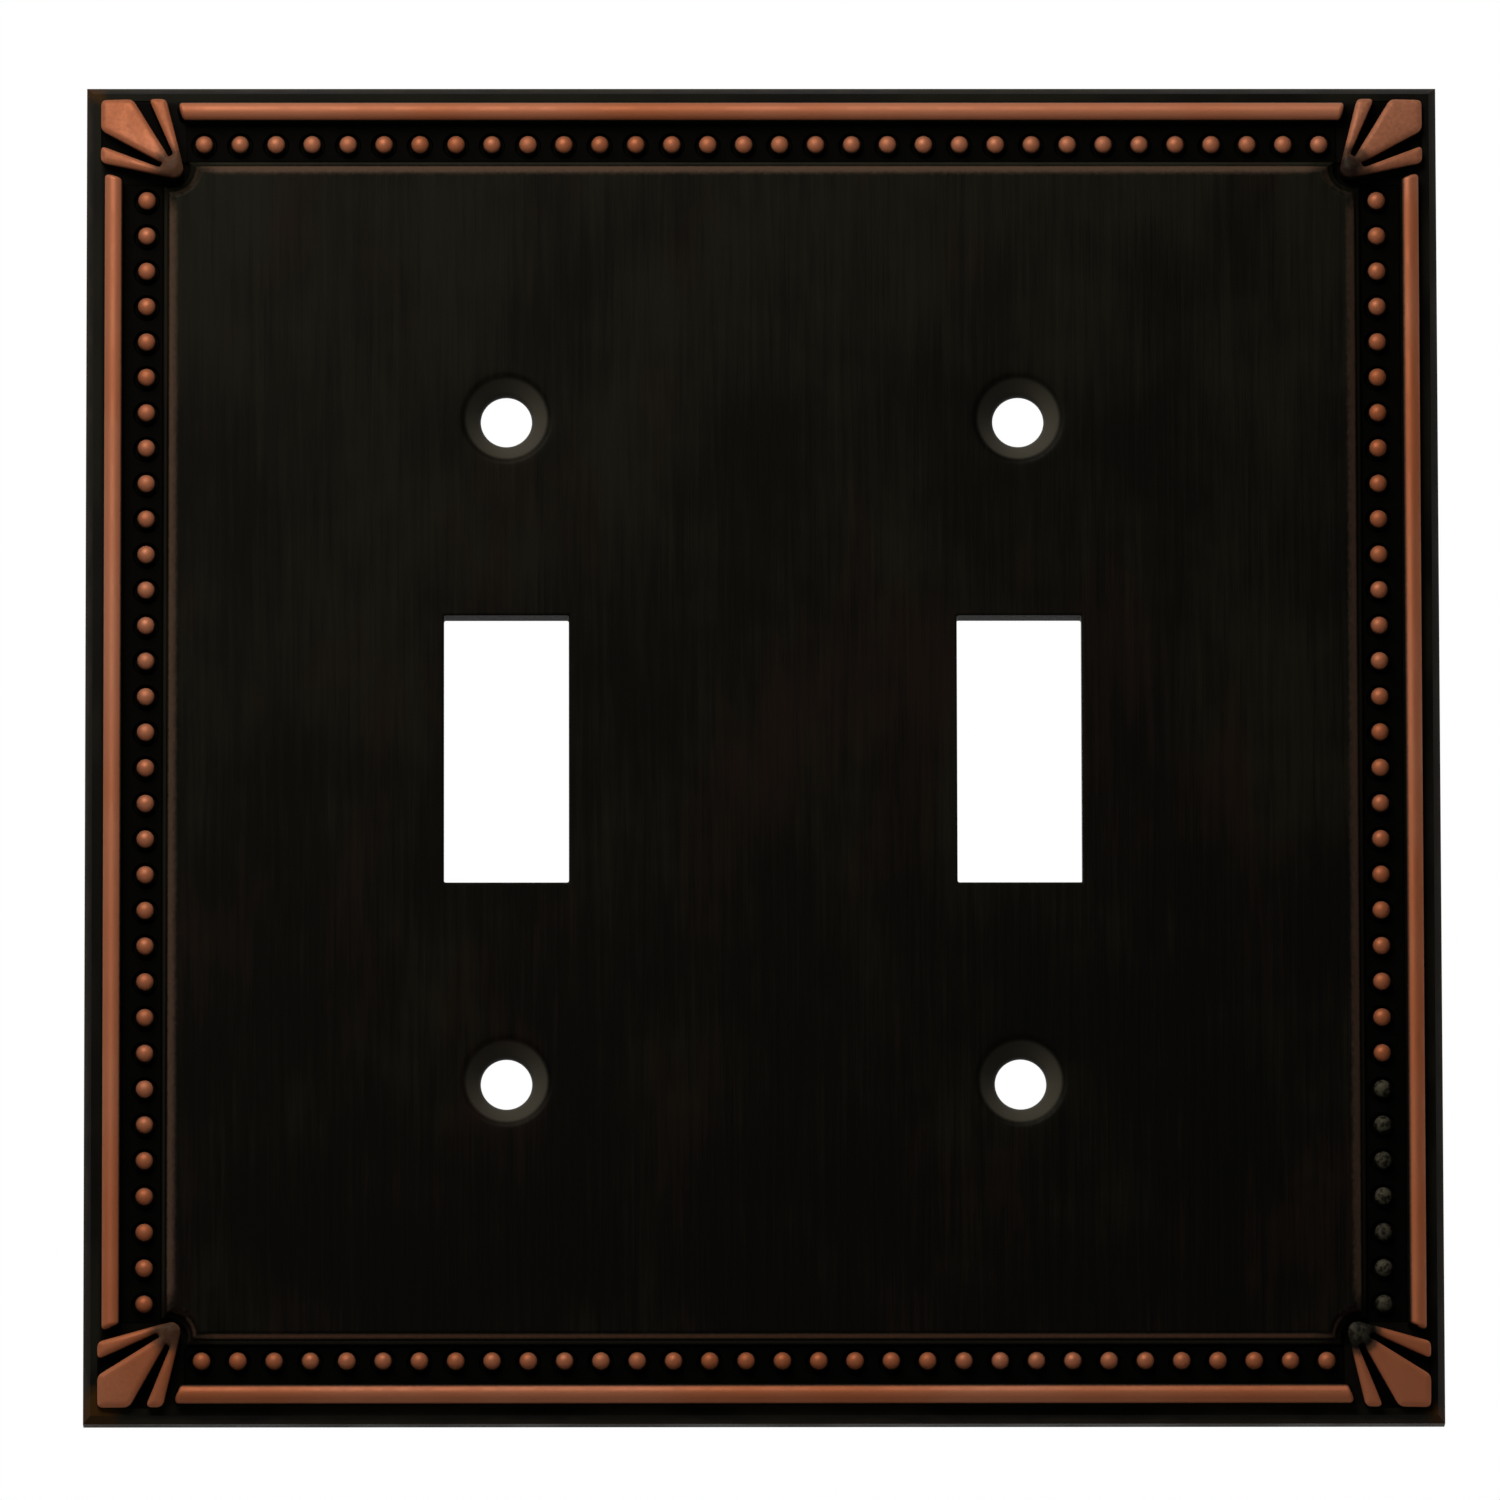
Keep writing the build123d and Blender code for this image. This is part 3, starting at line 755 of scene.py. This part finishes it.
def leaf_lobes():
    """The outlines that a leaf is made of, from the plate's corner: whole leaf, lobes and round tip, and
    the straight edges of its lobes."""
    tip = Vector((LEAF_TIP_INSET, LEAF_TIP_INSET))
    shoulder = Vector((LEAF_SPAN, LEAF_INSET))
    spread = (tip - shoulder).length
    to_tip = math.atan2(LEAF_TIP_INSET - LEAF_INSET, LEAF_TIP_INSET - LEAF_SPAN)
    to_touch = to_tip - math.asin(LEAF_TIP_RADIUS / spread)
    reach = math.sqrt(spread**2 - LEAF_TIP_RADIUS**2)
    touch = shoulder + Vector((reach * math.cos(to_touch), reach * math.sin(to_touch)))
    along = (SLIT_INNER - SLIT_OUTER).normalized()
    across = Vector((-along.y, along.x))
    far_left, far_right = SLIT_OUTER + across * SLIT_OUTER_HALF, SLIT_OUTER - across * SLIT_OUTER_HALF
    near_left, near_right = SLIT_INNER + across * SLIT_INNER_HALF, SLIT_INNER - across * SLIT_INNER_HALF

    def at_edge(far, near):
        """Where a slit's side meets the leaf's outer edge."""
        return near + (far - near) * ((near.y - LEAF_INSET) / (near.y - far.y))

    left, right = at_edge(far_left, near_left), at_edge(far_right, near_right)
    corner = Vector((LEAF_INSET, LEAF_INSET))
    centre_lobe = [corner, left, near_left, tip, near_left.yx, left.yx]
    side_lobe = [right, shoulder, touch, tip, near_right]
    bridge = [near_left, near_right, tip]
    end = circle(tip, LEAF_TIP_RADIUS, 32)
    whole = [corner, shoulder, touch, tip, touch.yx, shoulder.yx]
    lobes = [centre_lobe, side_lobe, [p.yx for p in side_lobe], bridge, [p.yx for p in bridge], end]
    edges = [(corner, left), (left, near_left), (near_left, near_right), (near_right, right)]
    edges += [(right, shoulder), (shoulder, touch)]
    edges += [(a.yx, b.yx) for a, b in edges]
    return whole, lobes, end, edges


def nearest(point, edges):
    """How far a 2D point is from the nearest of some straight edges."""
    best = 100.0
    for start, end in edges:
        run = end - start
        share = min(1.0, max(0.0, (point - start).dot(run) / run.length_squared))
        best = min(best, (start + run * share - point).length)
    return best


def prism(mesh, loop, low, high):
    """An upright block with this outline."""
    bottom = [mesh.verts.new((p.x, p.y, low)) for p in loop]
    top = [mesh.verts.new((p.x, p.y, high)) for p in loop]
    mesh.faces.new(list(reversed(bottom)))
    mesh.faces.new(top)
    for n in range(len(loop)):
        after = (n + 1) % len(loop)
        mesh.faces.new((bottom[n], bottom[after], top[after], top[n]))


def merged(blocks, voxel):
    """One even mesh round overlapping blocks, as a new bmesh."""
    rough = bpy.data.meshes.new("blocks")
    blocks.to_mesh(rough)
    blocks.free()
    holder = bpy.data.objects.new("blocks", rough)
    bpy.context.scene.collection.objects.link(holder)
    remesh = holder.modifiers.new("one skin", "REMESH")
    remesh.mode = "VOXEL"
    remesh.voxel_size = voxel
    skin = bpy.data.meshes.new_from_object(holder.evaluated_get(bpy.context.evaluated_depsgraph_get()))
    bpy.data.objects.remove(holder)
    mesh = bmesh.new()
    mesh.from_mesh(skin)
    bpy.data.meshes.remove(skin)
    bpy.data.meshes.remove(rough)
    return mesh


def leaf_top(point, edges):
    """The level of a leaf's face: highest over the tip, falling outwards, and rounded at every edge."""
    tip = Vector((LEAF_TIP_INSET, LEAF_TIP_INSET))
    away = (point - tip).length
    beyond = max(0.0, (point.x + point.y) / 2 - LEAF_TIP_INSET)
    fall = LEAF_FALL * away + LEAF_TIP_FALL * beyond**2
    edge = 1 - min(1.0, nearest(point, edges) / LEAF_ROUND)
    return LEAF_CREST - fall - LEAF_EDGE_DROP * edge**2


def corner_leaf(corner):
    """A fluted leaf of three lobes, softened like a casting."""
    whole, lobes, end, edges = leaf_lobes()
    blocks = bmesh.new()
    prism(blocks, whole, GROOVE_FLOOR, BORDER_FACE)
    prism(blocks, end, GROOVE_FLOOR, BORDER_FACE)
    for lobe in lobes:
        prism(blocks, soften_loop(lobe, LEAF_ROUND), BORDER_FACE - 0.2, LEAF_CREST)
    solid = Solid(merged(blocks, LEAF_VOXEL))
    tip = Vector((LEAF_TIP_INSET, LEAF_TIP_INSET))
    for vert in solid.mesh.verts:
        if vert.co.z > BORDER_FACE:
            up = (vert.co.z - BORDER_FACE) / (LEAF_CREST - BORDER_FACE)
            vert.co.z = BORDER_FACE + up * (leaf_top(vert.co.xy, edges) - BORDER_FACE)
            # towards the tip the leaf is less rubbed: patina, and painted shade where the tip curves down
            # away from the light
            away = ramp((vert.co.xy - tip).length, 0.4, LEAF_TIP_REACH)
            rub = LEAF_TIP_RUB_AND_SHADE[corner] * (1 - away) + LEAF_RUB[corner] * away
            vert[solid.rub] = ramp(up, 0.5, 0.95) * rub
    for _ in range(LEAF_SMOOTHING):
        bmesh.ops.smooth_vert(
            solid.mesh, verts=solid.mesh.verts, factor=0.5, use_axis_x=True, use_axis_y=True, use_axis_z=True
        )
    from_corner = Matrix.Translation((-HALF_SIDE, -HALF_SIDE, 0))
    bmesh.ops.transform(solid.mesh, matrix=from_corner, verts=solid.mesh.verts)
    inset = LEAF_STUD_INSET - HALF_SIDE
    solid.stud((inset, inset), LEAF_STUD_RADIUS, GROOVE_FLOOR + 0.05)
    # painted shade: the leaf's low faces, in its slits and round its foot, take the black of the hollows
    for side in solid.mesh.faces:
        side.material_index = int(side.calc_center_median().z < BORDER_FACE + 0.15)
    materials = [RUBBED_COPPER, BLACK_PATINA_AND_SHADE]
    solid.piece(f"leaf_{corner}", CORNER_TURNS[corner], "rubbed_copper", materials, f"corner_leaf_{corner}")


def back_pan():
    """The pan keeps its CAD mesh and takes the dark finish."""
    pan = frame["nodes"]["back_pan"]
    pan.data.materials.clear()
    pan.data.materials.append(DARK_BRONZE)
    soft_edges = pan.modifiers.new("soft edges", "BEVEL")
    soft_edges.width = PAN_EDGE_BREAK * MM
    soft_edges.segments = 2
    soft_edges.limit_method = "ANGLE"
    soft_edges.angle_limit = PAN_SOFT_ABOVE


face_panel()
back_pan()
for edge_name in EDGE_TURNS:
    border_rod(edge_name)
    gallery_strip(edge_name)
    bead_row(edge_name)
for corner_name in CORNER_TURNS:
    corner_leaf(corner_name)


# ---------------------------------------------------------------- studio

LENS = 528.0
CAMERA_DISTANCE = 1.977
CAMERA_AZIMUTH = math.radians(-0.57)
CAMERA_ELEVATION = math.radians(-9.93)
CAMERA_ROLL = math.radians(-0.12)
AIM = Vector((-1.13 * MM, 0, 0.63 * MM))
FLOOR_DROP = 3.0
FLOOR_HALF = 30.0
WHITE = (1, 1, 1, 1)


def camera():
    """A long lens, a little below the plate and very slightly to its left."""
    data = bpy.data.cameras.new("camera")
    data.lens = LENS
    data.clip_end = 100
    made = bpy.data.objects.new("camera", data)
    bpy.context.scene.collection.objects.link(made)
    flat = math.cos(CAMERA_ELEVATION)
    back = Vector(
        (math.sin(CAMERA_AZIMUTH) * flat, -math.cos(CAMERA_AZIMUTH) * flat, math.sin(CAMERA_ELEVATION))
    )
    made.location = AIM + back * CAMERA_DISTANCE
    made.rotation_mode = "QUATERNION"
    roll = Quaternion((0, 0, 1), CAMERA_ROLL)
    made.rotation_quaternion = (-back).to_track_quat("-Z", "Y") @ roll
    bpy.context.scene.camera = made


def softbox(name, place, size, power):
    """A square soft light that faces the plate."""
    data = bpy.data.lights.new(name, "AREA")
    data.size = size
    data.energy = power
    made = bpy.data.objects.new(name, data)
    made.location = place
    made.rotation_mode = "QUATERNION"
    made.rotation_quaternion = (-Vector(place)).to_track_quat("-Z", "Y")
    bpy.context.scene.collection.objects.link(made)


def surroundings():
    """White behind the plate and dim in front of it, seen as plain white by the camera."""
    world = bpy.data.worlds.new("studio")
    bpy.context.scene.world = world
    world.use_nodes = True
    tree = world.node_tree
    tree.nodes.clear()
    direction = set_node(tree, "ShaderNodeTexCoord").outputs["Generated"]
    parts = set_node(tree, "ShaderNodeSeparateXYZ")
    tree.links.new(direction, parts.inputs[0])
    depth = set_node(tree, "ShaderNodeMapRange", interpolation_type="SMOOTHSTEP")
    tree.links.new(parts.outputs["Y"], depth.inputs["Value"])
    depth.inputs["From Min"].default_value = -0.90
    depth.inputs["From Max"].default_value = 0.10
    depth.inputs["To Min"].default_value = 0.01
    depth.inputs["To Max"].default_value = 0.80
    studio = set_node(tree, "ShaderNodeBackground")
    studio.inputs["Color"].default_value = WHITE
    tree.links.new(depth.outputs[0], studio.inputs["Strength"])
    paper = set_node(tree, "ShaderNodeBackground")
    paper.inputs["Color"].default_value = WHITE
    paper.inputs["Strength"].default_value = 1.0
    seen = set_node(tree, "ShaderNodeLightPath").outputs["Is Camera Ray"]
    mix = set_node(tree, "ShaderNodeMixShader")
    tree.links.new(seen, mix.inputs[0])
    tree.links.new(studio.outputs[0], mix.inputs[1])
    tree.links.new(paper.outputs[0], mix.inputs[2])
    tree.links.new(mix.outputs[0], set_node(tree, "ShaderNodeOutputWorld").inputs["Surface"])


def floor():
    """A plain pale floor, far enough below to clear every view. It glows only as seen by the camera."""
    mesh = bpy.data.meshes.new("floor")
    level = cad_low.z - FLOOR_DROP
    corners = [(FLOOR_HALF * x, FLOOR_HALF * y, level) for x, y in ((-1, -1), (1, -1), (1, 1), (-1, 1))]
    mesh.from_pydata(corners, [], [(0, 1, 2, 3)])
    shader = Shader("pale_floor")
    seen = set_node(shader.tree, "ShaderNodeLightPath").outputs["Is Camera Ray"]
    glow = shader.maths("MULTIPLY", seen, 0.5)
    shader.set(Base_Color=(0.75, 0.75, 0.75, 1), Roughness=0.9, Emission_Color=WHITE, Emission_Strength=glow)
    mesh.materials.append(shader.material)
    made = bpy.data.objects.new("floor", mesh)
    bpy.context.scene.collection.objects.link(made)


bpy.context.scene.view_settings.view_transform = "Standard"
camera()
surroundings()
floor()
softbox("key", (-0.12, -0.28, 0.24), 0.25, 1.8)
